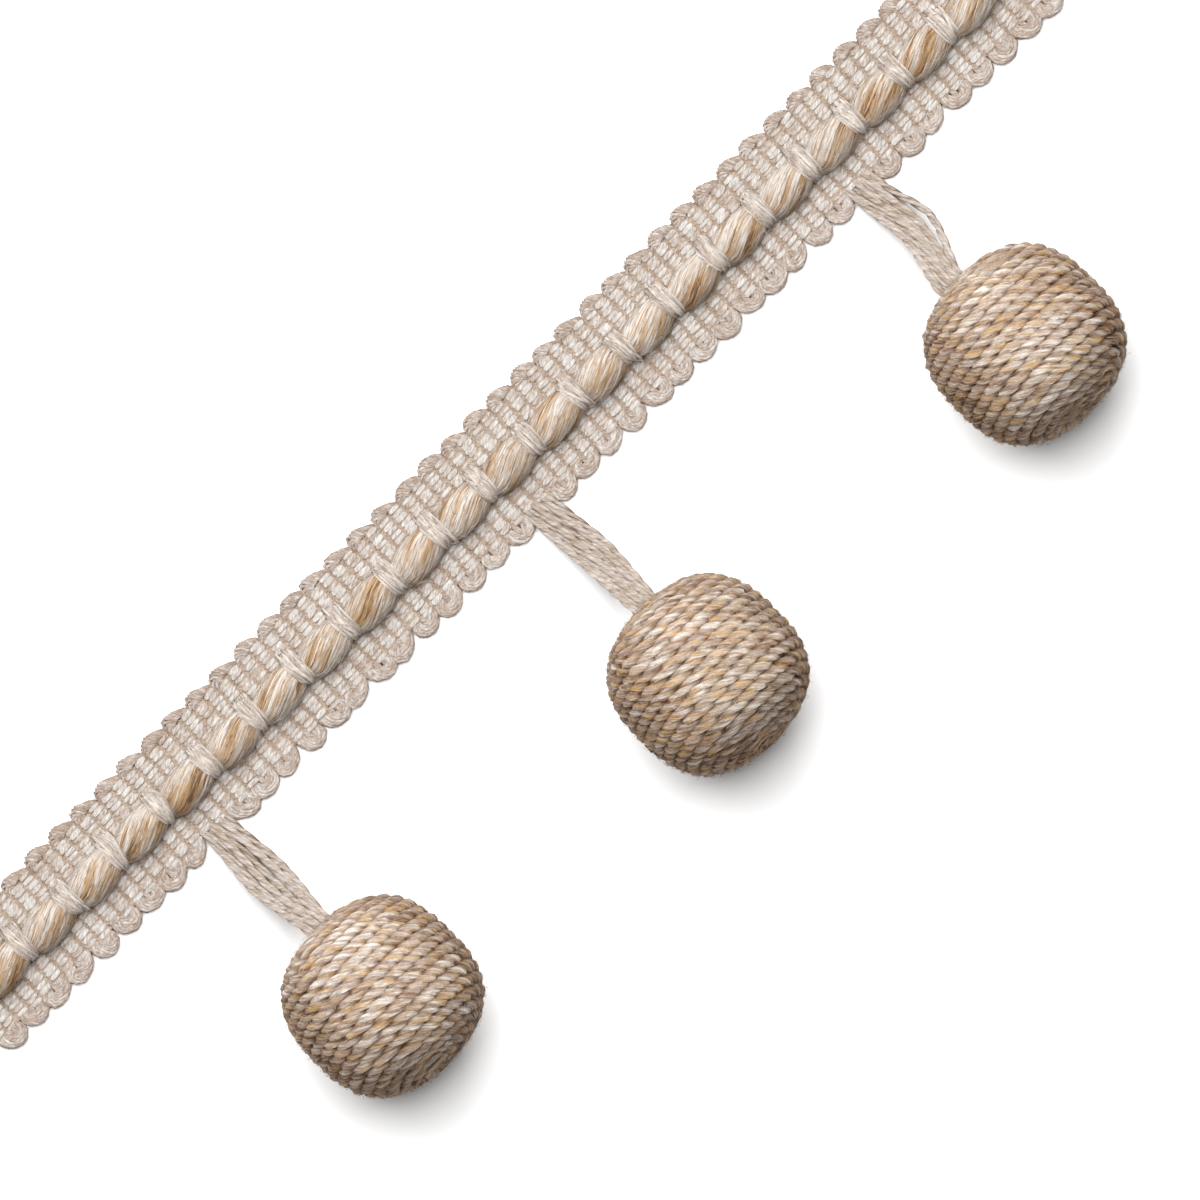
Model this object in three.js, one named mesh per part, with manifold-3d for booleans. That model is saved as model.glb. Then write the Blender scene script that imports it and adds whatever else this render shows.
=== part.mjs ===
// Ball fringe trim, a cut length with three yarn-wound balls.
// Millimetres, +Z up. X runs along the tape, the balls hang towards -Y, and the trim lies on its back.
// The woven tape carries a couched gimp cord; a flat bundle of cords joins each ball to its lower edge.
// Soft pieces that touch in the real trim stand TOUCH_GAP apart here.

import * as THREE from 'three';
import { mergeVertices } from 'three/addons/utils/BufferGeometryUtils.js';
import Module from 'manifold-3d';

const wasm = await Module();
wasm.setup();

// ---- driving dimensions -------------------------------------------------------------------------

const PICK = 2.75;                       // one weft rib of the tape
const LOOP_PITCH = 2 * PICK;             // one edge loop joins two ribs
const PUFF_PITCH = 4 * PICK;             // one puff of the gimp cord, binding to binding
const BALL_PITCH = 28 * PICK;            // one ball to the next
const TOUCH_GAP = 0.3;                   // between pieces that touch

const TAPE_LENGTH = 96 * PICK;
const TAPE_WIDTH = 17.0;                 // woven part, without the edge loops
const TAPE_THICK = 1.6;
const UPPER_LOOP = 2.5;                  // how far the loops stand out of the plain edge
const LOWER_LOOP = 3.0;                  // how far they stand out of the fringe edge
const LOOP_NOTCH = 0.4;                  // plain edge between two loops
const LOOP_ARC_STEPS = 6;

const CORD_WIDTH = 7.3;                  // at the fullest part of a puff
const CORD_HEIGHT = 5.0;
const BINDING_WIDTH = 3.2;               // along the cord, the stretch under the binding threads
const BINDING_PINCH = 0.87;              // section under a binding, as a share of the puff's
const CORD_FIRST_BINDING = -4.4;         // a binding's middle, from the middle ball's centre line
const CORD_SIDES = 12;

const BALL_RADIUS = 16.0;                // across the winding axis
const BALL_HALF_LENGTH = 15.8;           // along the winding axis, centre to pole
const BALL_SQUARENESS = 2.7;             // exponent of the profile: 2 is a circle, more is squarer
const BALL_TILT = THREE.MathUtils.degToRad(10);   // the free pole is lifted by this
const BALL_FLAT = 0.3;                   // depth of the flat spot that the ball rests on
const BALL_PROFILE_STEPS = 14;
const BALL_SEGMENTS = 28;

const HANGER_THICK = 1.4;
const HANGER_SIDES = 10;
const HANGER_STEPS = 10;
const HANGER_RISE_OUT = 6.0;             // length of the route's first control arm, at the tape
const HANGER_RISE_IN = 4.0;              // length of its last control arm, at the ball

// One row for each ball: its number along the trim, the distance from the tape's centre line to the
// ball's centre, the hanger's widths at the tape, in the middle and at the ball, and how far the
// hanger's middle and its ball end stand to the side of the ball's centre line.
const BALLS = [
  { place: -1, drop: 48.9, wide: [5.2, 8.0, 5.3], bow: 0.3, end: 0.5 },
  { place: 0, drop: 49.2, wide: [5.2, 6.4, 5.2], bow: 0.7, end: 0.6 },
  { place: 1, drop: 47.5, wide: [5.2, 7.2, 6.2], bow: 1.2, end: -1.2 },
];

// ---- materials ----------------------------------------------------------------------------------

const yarn = (name, color) => {
  const finish = new THREE.MeshStandardMaterial({ color, roughness: 0.9, metalness: 0 });
  finish.name = name;
  return finish;
};

// ---- helpers ------------------------------------------------------------------------------------

// A closed solid through a row of rings that have equal numbers of points, with flat end caps.
function loft(rings) {
  const sides = rings[0].length;
  const positions = rings.flat().flatMap((point) => [point.x, point.y, point.z]);
  const faces = [];
  for (let ring = 0; ring < rings.length - 1; ring += 1) {
    for (let side = 0; side < sides; side += 1) {
      const a = ring * sides + side;
      const b = ring * sides + (side + 1) % sides;
      faces.push(a, b, b + sides, a, b + sides, a + sides);
    }
  }
  const last = (rings.length - 1) * sides;
  for (let side = 1; side < sides - 1; side += 1) {
    faces.push(0, side + 1, side);
    faces.push(last, last + side, last + side + 1);
  }
  const geometry = new THREE.BufferGeometry();
  geometry.setAttribute('position', new THREE.Float32BufferAttribute(positions, 3));
  geometry.setIndex(faces);
  return geometry;
}

function toManifold(geometry) {
  const bare = geometry.clone();
  bare.deleteAttribute('normal');
  bare.deleteAttribute('uv');
  const merged = mergeVertices(bare, 1e-5);
  return new wasm.Manifold(new wasm.Mesh({
    numProp: 3,
    vertProperties: new Float32Array(merged.attributes.position.array),
    triVerts: new Uint32Array(merged.index.array),
  }));
}

function fromManifold(solid) {
  const mesh = solid.getMesh();
  const geometry = new THREE.BufferGeometry();
  geometry.setAttribute('position', new THREE.BufferAttribute(mesh.vertProperties, 3));
  geometry.setIndex(new THREE.BufferAttribute(mesh.triVerts, 1));
  return geometry;
}

// A point on a superellipse with the given half-sizes, at an angle from the first axis.
function superellipse(halfA, halfB, squareness, angle) {
  const power = 2 / squareness;
  const a = Math.sign(Math.cos(angle)) * Math.abs(Math.cos(angle)) ** power;
  const b = Math.sign(Math.sin(angle)) * Math.abs(Math.sin(angle)) ** power;
  return new THREE.Vector2(halfA * a, halfB * b);
}

// ---- heading tape -------------------------------------------------------------------------------

// One outline: along the fringe edge loop by loop, with a plain stretch where each hanger grows
// out, then back along the plain edge, where the loops sit one rib further on.
function buildTape() {
  const halfLength = TAPE_LENGTH / 2;
  const halfWidth = TAPE_WIDTH / 2;
  const outline = new THREE.Shape();
  const loop = (from, to, edge, depth) => {
    outline.lineTo(from, edge);
    outline.bezierCurveTo(from, edge + depth * 4 / 3, to, edge + depth * 4 / 3, to, edge);
  };
  const half = (LOOP_PITCH - LOOP_NOTCH) / 2;
  const hangers = BALLS.map((ball) => ball.place * BALL_PITCH);

  outline.moveTo(-halfLength, halfWidth);
  outline.lineTo(-halfLength, -halfWidth);
  for (let x = -halfLength + LOOP_PITCH; x < halfLength - PICK; x += LOOP_PITCH) {
    if (hangers.every((hanger) => Math.abs(hanger - x) > PICK)) {
      loop(x - half, x + half, -halfWidth, -LOWER_LOOP);
    }
  }
  outline.lineTo(halfLength, -halfWidth);
  outline.lineTo(halfLength, halfWidth);
  for (let x = halfLength - PICK; x > -halfLength; x -= LOOP_PITCH) {
    loop(x + half, x - half, halfWidth, UPPER_LOOP);
  }
  return new THREE.ExtrudeGeometry(outline, {
    depth: TAPE_THICK,
    curveSegments: LOOP_ARC_STEPS,
    bevelEnabled: false,
  });
}

// ---- gimp cord ----------------------------------------------------------------------------------

// Its section, flat underneath, swells into a puff between two bindings and is pinched under each.
function buildCord() {
  const halfLength = TAPE_LENGTH / 2;
  const puffShare = [0.0, 0.12, 0.38, 0.62, 0.88, 1.0];      // stations along one puff
  const puffLength = PUFF_PITCH - BINDING_WIDTH;
  const stations = [];
  const firstPuff = CORD_FIRST_BINDING - PUFF_PITCH * 12 + BINDING_WIDTH / 2;
  for (let start = firstPuff; start < halfLength; start += PUFF_PITCH) {
    puffShare.forEach((share) => {
      const swell = BINDING_PINCH + (1 - BINDING_PINCH) * Math.sin(Math.PI * share) ** 0.6;
      stations.push({ x: start + share * puffLength, swell });
    });
  }
  const inside = stations.filter((station) => Math.abs(station.x) < halfLength - 0.5);
  const all = [
    { x: -halfLength, swell: inside[0].swell },
    ...inside,
    { x: halfLength, swell: inside[inside.length - 1].swell },
  ];
  const bottom = TAPE_THICK + TOUCH_GAP;
  const rings = all.map(({ x, swell }) => {
    const ring = [];
    for (let side = 0; side < CORD_SIDES; side += 1) {
      const angle = 2 * Math.PI * (side + 0.5) / CORD_SIDES;
      const point = superellipse(CORD_WIDTH / 2 * swell, CORD_HEIGHT / 2 * swell, 2.3, angle);
      const z = bottom + CORD_HEIGHT / 2 * swell + point.y;
      ring.push(new THREE.Vector3(x, point.x, Math.max(z, bottom)));
    }
    return ring;
  });
  return loft(rings);
}

// ---- balls --------------------------------------------------------------------------------------

// Height of a ball's centre: its lowest side, less the flat spot, stands on the surface.
function ballLift() {
  const dual = BALL_SQUARENESS / (BALL_SQUARENESS - 1);
  const along = (BALL_HALF_LENGTH * Math.sin(BALL_TILT)) ** dual;
  const across = (BALL_RADIUS * Math.cos(BALL_TILT)) ** dual;
  return (along + across) ** (1 / dual) - BALL_FLAT;
}

function ballCentre(ball) {
  return new THREE.Vector3(ball.place * BALL_PITCH, -ball.drop, ballLift());
}

// Unit vector from a ball's centre to its free pole.
const BALL_AXIS = new THREE.Vector3(0, -Math.cos(BALL_TILT), Math.sin(BALL_TILT));

function buildBall(ball) {
  const profile = [];
  for (let step = 0; step <= BALL_PROFILE_STEPS; step += 1) {
    const angle = Math.PI * (step / BALL_PROFILE_STEPS - 0.5);
    const point = superellipse(BALL_RADIUS, BALL_HALF_LENGTH, BALL_SQUARENESS, angle);
    const onAxis = step === 0 || step === BALL_PROFILE_STEPS;
    profile.push(new THREE.Vector2(onAxis ? 0 : point.x, point.y));
  }
  const drum = new THREE.LatheGeometry(profile, BALL_SEGMENTS);
  const turn = new THREE.Quaternion().setFromUnitVectors(new THREE.Vector3(0, 1, 0), BALL_AXIS);
  drum.applyQuaternion(turn);
  const centre = ballCentre(ball);
  drum.translate(centre.x, centre.y, centre.z);
  const depth = BALL_RADIUS;
  const below = new THREE.BoxGeometry(3 * BALL_RADIUS, 3 * BALL_RADIUS, depth);
  below.translate(centre.x, centre.y, -depth / 2);
  return fromManifold(toManifold(drum).subtract(toManifold(below)));
}

// ---- hangers ------------------------------------------------------------------------------------

// Each bundle leaves the tape's edge level, climbs to the ball and goes in along its winding axis.
function buildHanger(ball) {
  const middle = ball.place * BALL_PITCH;
  const start = new THREE.Vector3(middle, -TAPE_WIDTH / 2 - TOUCH_GAP, TAPE_THICK / 2 + 0.1);
  const pole = ballCentre(ball).addScaledVector(BALL_AXIS, -BALL_HALF_LENGTH - TOUCH_GAP - 0.1);
  const end = new THREE.Vector3(middle + ball.end, pole.y, pole.z);
  const leave = start.clone().add(new THREE.Vector3(0, -HANGER_RISE_OUT, 0));
  const enter = end.clone().addScaledVector(BALL_AXIS, -HANGER_RISE_IN);
  enter.x = middle + 2 * ball.bow;
  const route = new THREE.CubicBezierCurve3(start, leave, enter, end);
  const widths = new THREE.QuadraticBezierCurve(
    new THREE.Vector2(ball.wide[0], 0),
    new THREE.Vector2(2 * ball.wide[1] - (ball.wide[0] + ball.wide[2]) / 2, 0),
    new THREE.Vector2(ball.wide[2], 0),
  );
  const side = new THREE.Vector3(1, 0, 0);
  const rings = [];
  for (let step = 0; step <= HANGER_STEPS; step += 1) {
    const share = step / HANGER_STEPS;
    const centre = route.getPoint(share);
    const level = route.getTangent(share).setX(0);
    const up = new THREE.Vector3().crossVectors(level, side).normalize();
    const halfWidth = widths.getPoint(share).x / 2;
    const ring = [];
    for (let k = 0; k < HANGER_SIDES; k += 1) {
      const angle = 2 * Math.PI * (k + 0.5) / HANGER_SIDES;
      const point = superellipse(halfWidth, HANGER_THICK / 2, 2.6, angle);
      ring.push(centre.clone().addScaledVector(side, point.x).addScaledVector(up, point.y));
    }
    rings.push(ring);
  }
  return loft(rings);
}

// ---- the trim -----------------------------------------------------------------------------------

const trim = new THREE.Group();

function add(name, geometry, material) {
  const mesh = new THREE.Mesh(geometry, material);
  mesh.name = name;
  trim.add(mesh);
}

add('heading_tape', buildTape(), yarn('tape', 0xd6c9bf));
add('gimp_cord', buildCord(), yarn('gimp', 0xdcc8b4));
BALLS.forEach((ball, index) => {
  add(`hanger_${index + 1}`, buildHanger(ball), yarn('hanger', 0xd8cabb));
  add(`ball_${index + 1}`, buildBall(ball), yarn('ball', 0xc5b09b));
});

// The origin stands under the middle of the whole trim's box, on the surface that it lies on.
const box = new THREE.Box3().setFromObject(trim, true);
const middle = box.getCenter(new THREE.Vector3());
trim.position.set(-middle.x, -middle.y, -box.min.z);

export default trim;
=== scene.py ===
# Ball fringe trim: a woven rib tape with looped edges, a gimp cord couched along it, and balls
# wound of thick plied yarn that hang on flat bundles of thin cords. It lies on its back on a pale
# table. Lengths are worked out in millimetres and turned into metres where a mesh is made.

import math

import bmesh
import bpy
import numpy as np
from mathutils import Matrix, Vector


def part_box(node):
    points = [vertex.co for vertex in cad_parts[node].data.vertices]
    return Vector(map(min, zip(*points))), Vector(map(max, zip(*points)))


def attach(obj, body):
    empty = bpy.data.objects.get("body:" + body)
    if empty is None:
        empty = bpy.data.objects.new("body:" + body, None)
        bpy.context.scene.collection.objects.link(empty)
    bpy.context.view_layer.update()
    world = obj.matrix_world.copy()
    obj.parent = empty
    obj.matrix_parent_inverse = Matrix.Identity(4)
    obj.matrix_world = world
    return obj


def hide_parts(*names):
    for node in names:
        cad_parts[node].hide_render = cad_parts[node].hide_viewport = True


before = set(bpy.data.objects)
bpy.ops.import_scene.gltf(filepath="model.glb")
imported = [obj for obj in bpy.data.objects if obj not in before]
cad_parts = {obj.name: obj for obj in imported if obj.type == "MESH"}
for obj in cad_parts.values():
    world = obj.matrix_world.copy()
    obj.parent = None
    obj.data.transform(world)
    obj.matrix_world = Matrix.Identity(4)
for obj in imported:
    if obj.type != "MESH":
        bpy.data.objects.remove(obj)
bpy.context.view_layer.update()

MM = 0.001

# ---- camera, table and light --------------------------------------------------------------------
# The trim is looked at from straight above with a long lens, turned so that the tape runs up to the
# right and the balls hang down to the right. Nothing here belongs to the trim.

TAPE_WIDE = 17.0        # the woven part, in mm
UPPER_LOOP = 2.5        # how far the loops stand out of the plain edge
tape_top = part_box("heading_tape")[1]
TAPE_Y = tape_top.y / MM - UPPER_LOOP - TAPE_WIDE / 2     # the woven part's centre line

VIEW_WIDE = 203.1       # mm across what the camera sees
LOOK_AT = (-4.0, TAPE_Y - 27.3)
TURN = math.radians(44.9)
LENS = 500.0
SENSOR = 36.0

eye = bpy.data.cameras.new("camera")
eye.lens = LENS
eye.sensor_width = SENSOR
camera = bpy.data.objects.new("camera", eye)
bpy.context.scene.collection.objects.link(camera)
camera_high = VIEW_WIDE * LENS / SENSOR * MM
camera.location = (LOOK_AT[0] * MM, LOOK_AT[1] * MM, camera_high)
camera.rotation_euler = (0.0, 0.0, -TURN)
eye.clip_start = 0.01
eye.clip_end = 20.0
bpy.context.scene.camera = camera


def to_linear(hex_colour):
    """An sRGB hex colour as a linear RGBA tuple."""
    parts = [int(hex_colour[i:i + 2], 16) / 255 for i in (0, 2, 4)]
    lit = [c / 12.92 if c <= 0.04045 else ((c + 0.055) / 1.055) ** 2.4 for c in parts]
    return (*lit, 1.0)


def add_node(tree, kind, links=(), **settings):
    """A node with its settings, and links as (its input, node, that node's output)."""
    made = tree.nodes.new(kind)
    for key, value in settings.items():
        if key in made.inputs:
            made.inputs[key].default_value = value
        else:
            setattr(made, key, value)
    for socket, other, output in links:
        tree.links.new(other.outputs[output], made.inputs[socket])
    return made


table_paint = bpy.data.materials.new("white_laminate_table")
table_paint.use_nodes = True
table_shader = table_paint.node_tree.nodes["Principled BSDF"]
table_shader.inputs["Base Color"].default_value = to_linear("f2f2f2")
table_shader.inputs["Roughness"].default_value = 0.9

TABLE_HALF = 3.0
table_mesh = bpy.data.meshes.new("table")
shape = bmesh.new()
bmesh.ops.create_grid(shape, x_segments=1, y_segments=1, size=TABLE_HALF)
shape.to_mesh(table_mesh)
shape.free()
table = bpy.data.objects.new("table", table_mesh)
table_mesh.materials.append(table_paint)
bpy.context.scene.collection.objects.link(table)


# One large soft box above the plain edge, aimed at the middle of the trim.
KEY_PLACE = Vector((0.24, 0.71, 1.465))
KEY_WIDE = 1.85
KEY_POWER = 81.5
ROOM_LIGHT = 0.07

key = bpy.data.lights.new("key_light", "AREA")
key.size = KEY_WIDE
key.energy = KEY_POWER
key_held = bpy.data.objects.new("key_light", key)
key_held.location = KEY_PLACE
key_held.rotation_euler = (-KEY_PLACE).to_track_quat("-Z", "Y").to_euler()
bpy.context.scene.collection.objects.link(key_held)

world = bpy.data.worlds.new("studio")
world.use_nodes = True
world.node_tree.nodes["Background"].inputs["Color"].default_value = (1.0, 1.0, 1.0, 1.0)
world.node_tree.nodes["Background"].inputs["Strength"].default_value = ROOM_LIGHT
bpy.context.scene.world = world
bpy.context.scene.view_settings.view_transform = "Standard"

# ---- heading tape: the warps --------------------------------------------------------------------
# Soft spun cotton threads that run the length of the tape. Neighbours go over and under each thick
# rib in turn, so a rib is a column of short pale grains, and the gaps between ribs lie deeper.

PICK = 2.75                 # rib to rib
PICKS = 96
TAPE_LONG = PICK * PICKS
BALL_STEP = 28 * PICK
TAPE_Z = 0.8                # half the tape's thickness
HANGERS = (-BALL_STEP, 0.0, BALL_STEP)

dice = np.random.default_rng(7)


WAVES_TO_ONE = 0.74         # because wander's three waves together reach 1.36 at most


def wander(along, span, size):
    """A slow random drift along a length, of that size at most, changing over about that span."""
    out = np.zeros_like(along)
    for part in (1.0, 0.61, 0.37):
        wave = span / part * dice.uniform(0.8, 1.25)
        out += np.sin(2 * np.pi * (along / wave + dice.random())) * (0.7 + part) / 3
    return out * size * WAVES_TO_ONE


def lengths(line):
    """How far along itself each point of a line lies."""
    steps = np.linalg.norm(np.diff(line, axis=0), axis=1)
    return np.concatenate(([0.0], np.cumsum(steps)))


def even(line, step):
    """The line with its points that far apart, smoothed as a spline through the given ones."""
    line = np.asarray(line, float)
    ends = np.concatenate((2 * line[:1] - line[1:2], line, 2 * line[-1:] - line[-2:-1]))
    parts = np.linspace(0, 1, 12, endpoint=False)[:, None]
    dense = []
    for a, b, c, d in zip(ends, ends[1:], ends[2:], ends[3:]):
        dense.append(b + 0.5 * parts * (c - a + parts * (
            2 * a - 5 * b + 4 * c - d + parts * (3 * (b - c) + d - a))))
    dense = np.concatenate(dense + [line[-1:]])
    along = lengths(dense)
    wanted = np.linspace(0, along[-1], max(2, round(along[-1] / step) + 1))
    return np.stack([np.interp(wanted, along, column) for column in dense.T], 1)


def frames(line, up):
    """Outward and sideways unit vectors at each point of a line, outward being nearest to up."""
    tangent = np.gradient(line, axis=0)
    tangent /= np.linalg.norm(tangent, axis=1)[:, None]
    outward = np.broadcast_to(up, line.shape)
    outward = outward - (outward * tangent).sum(1)[:, None] * tangent
    outward /= np.linalg.norm(outward, axis=1)[:, None]
    return outward, np.cross(tangent, outward)


def plied(line, up, count, spread, turns, start=0.0, flat=1.0):
    """Lines of count strands that twist about a line. turns is the angle turned at each point, in
    whole turns, plus for a right-handed twist. spread is how far each strand stands from it, and
    flat how much further than that it stands to the sides."""
    outward, sideways = frames(line, up)
    spread = np.broadcast_to(spread, (len(line),))[:, None]
    made = []
    for k in range(count):
        angle = (2 * np.pi * (turns + k / count + start))[:, None]
        made.append(line + spread * (outward * np.cos(angle) + sideways * flat * np.sin(angle)))
    return made


STRAND_SIDES = 6
OWN_STRETCH = 137.0         # from one strand's stretch of the fibre pattern to the next one's


def spun(name, strands, skin, hollow, soften):
    """One mesh of yarn strands. Each is a dict with line, thick, tone (which of the yarn's colours
    it has most of) and fibre (turns a mm that its fibres make). The mesh carries each point's place
    on the yarn as if it was laid out straight, for the fibre patterns to follow. skin gives how
    many mm points lie below the piece's outer surface: it is hairy, so light falls on it partly as
    on one soft body (soften), and from the first depth of hollow to the second it gets painted
    shade."""
    cord = bpy.data.curves.new(name, "CURVE")
    cord.dimensions = "3D"
    cord.bevel_depth = 1.0
    cord.bevel_resolution = (STRAND_SIDES - 4) // 2
    places, tones, runs = [], [], []
    for number, strand in enumerate(strands):
        line = strand["line"]
        count = len(line)
        thick = np.broadcast_to(strand["thick"], (count,))
        spline = cord.splines.new("POLY")
        spline.points.add(count - 1)
        spline.points.foreach_set("co", np.c_[line * MM, np.ones(count)].ravel())
        spline.points.foreach_set("radius", thick * MM / 2)
        along = lengths(line)
        angle = 2 * np.pi * (np.arange(STRAND_SIDES) / STRAND_SIDES
                             + along[:, None] * strand["fibre"])
        place = np.empty((count, STRAND_SIDES, 3))
        place[:, :, 0] = along[:, None] + OWN_STRETCH * number
        place[:, :, 1] = thick[:, None] / 2 * np.cos(angle)
        place[:, :, 2] = thick[:, None] / 2 * np.sin(angle)
        places.append(place.reshape(-1, 3) * MM)
        tones.append(np.repeat(np.broadcast_to(strand["tone"], (count,)), STRAND_SIDES))
        runs.append(along)

    # Blender's own round bevel gives the strands their skins, and the curve is then dropped.
    held = bpy.data.objects.new(name, cord)
    bpy.context.scene.collection.objects.link(held)
    depsgraph = bpy.context.evaluated_depsgraph_get()
    mesh = bpy.data.meshes.new_from_object(held.evaluated_get(depsgraph))
    bpy.data.objects.remove(held)
    bpy.data.curves.remove(cord)
    mesh.name = name
    laid = mesh.attributes.new("laid", "FLOAT_VECTOR", "POINT")
    laid.data.foreach_set("vector", np.concatenate(places).ravel())
    tone = mesh.attributes.new("tone", "FLOAT", "POINT")
    tone.data.foreach_set("value", np.concatenate(tones))
    lay_flat(mesh, runs)

    shape = bmesh.new()
    shape.from_mesh(mesh)
    flat = shape.loops.layers.uv["OFBake"]
    caps = bmesh.ops.holes_fill(shape, edges=shape.edges, sides=STRAND_SIDES)["faces"]
    for cap in caps:
        near = cap.loops[0].link_loop_radial_next[flat].uv.copy()
        for k, corner in enumerate(cap.loops):
            angle = 2 * math.pi * k / STRAND_SIDES
            corner[flat].uv = near + Vector((math.cos(angle), math.sin(angle))) * 1e-3
    shape.to_mesh(mesh)
    shape.free()
    mesh.polygons.foreach_set("use_smooth", [True] * len(mesh.polygons))
    soft_skin(mesh, strands, skin, hollow, soften)
    piece = bpy.data.objects.new(name, mesh)
    bpy.context.scene.collection.objects.link(piece)
    return piece


def soft_skin(mesh, strands, skin, hollow, soften):
    """Turns the normals on a strand's outer side towards the way out of the whole piece, and marks
    how deep in a hollow each corner lies, for the painted shade of the hollows."""
    corners = np.empty(len(mesh.vertices) * 3, np.float32)
    mesh.vertices.foreach_get("co", corners)
    corners = corners.reshape(-1, 3) / MM
    lines = np.concatenate([strand["line"] for strand in strands])
    own = corners - np.repeat(lines, STRAND_SIDES, axis=0)      # the way out of the strand itself
    own /= np.linalg.norm(own, axis=1)[:, None]
    depth = skin(corners)
    near = 0.05                     # mm, over which the skin's slope is measured
    outward = np.stack([skin(corners - near * axis) - skin(corners + near * axis)
                        for axis in np.eye(3)], 1)
    outward /= np.maximum(np.linalg.norm(outward, axis=1), 1e-6)[:, None]
    share = soften * np.clip(0.5 + (own * outward).sum(1), 0, 1)[:, None]
    normal = own * (1 - share) + outward * share
    normal /= np.linalg.norm(normal, axis=1)[:, None]
    mesh.normals_split_custom_set_from_vertices(normal.tolist())
    low, high = hollow
    painted_hollow_shade = np.clip((depth - low) / (high - low), 0, 1)
    mark = mesh.attributes.new("painted_hollow_shade", "FLOAT", "POINT")
    mark.data.foreach_set("value", painted_hollow_shade * painted_hollow_shade * (3 - 2 * painted_hollow_shade))


def lay_flat(mesh, runs):
    """A UV map with the strands' skins slit open and laid in rows, one under another. runs are how
    far along its strand each point lies, for every strand."""
    around = np.empty(len(mesh.loops) * 2, np.float32)
    mesh.uv_layers[0].data.foreach_get("uv", around)
    around = around.reshape(-1, 2)[:, 1]
    offset = np.concatenate(([0.0], np.cumsum([run[-1] for run in runs])))
    reach = np.concatenate([run + start for run, start in zip(runs, offset)])
    girth = 3.0                     # about how far it is round a strand, in mm
    rows = max(1, round(math.sqrt(offset[-1] / girth)))
    row_long = offset[-1] / rows
    corner = np.empty(len(mesh.loops), np.int32)
    mesh.loops.foreach_get("vertex_index", corner)
    point = corner // STRAND_SIDES
    # The four corners of a face go in the row of its first one.
    first = np.repeat(reach[point[::4]], 4)
    row = np.floor(first / row_long)
    slack = max(np.diff(run).max() for run in runs)
    flat = np.empty((len(corner), 2), np.float32)
    flat[:, 0] = (reach[point] - row * row_long) / (row_long + slack)
    flat[:, 1] = (row + 0.04 + 0.92 * around) / (rows + 1)
    mesh.uv_layers.remove(mesh.uv_layers[0])
    mesh.uv_layers.new(name="OFBake").data.foreach_set("uv", flat.ravel())


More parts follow.
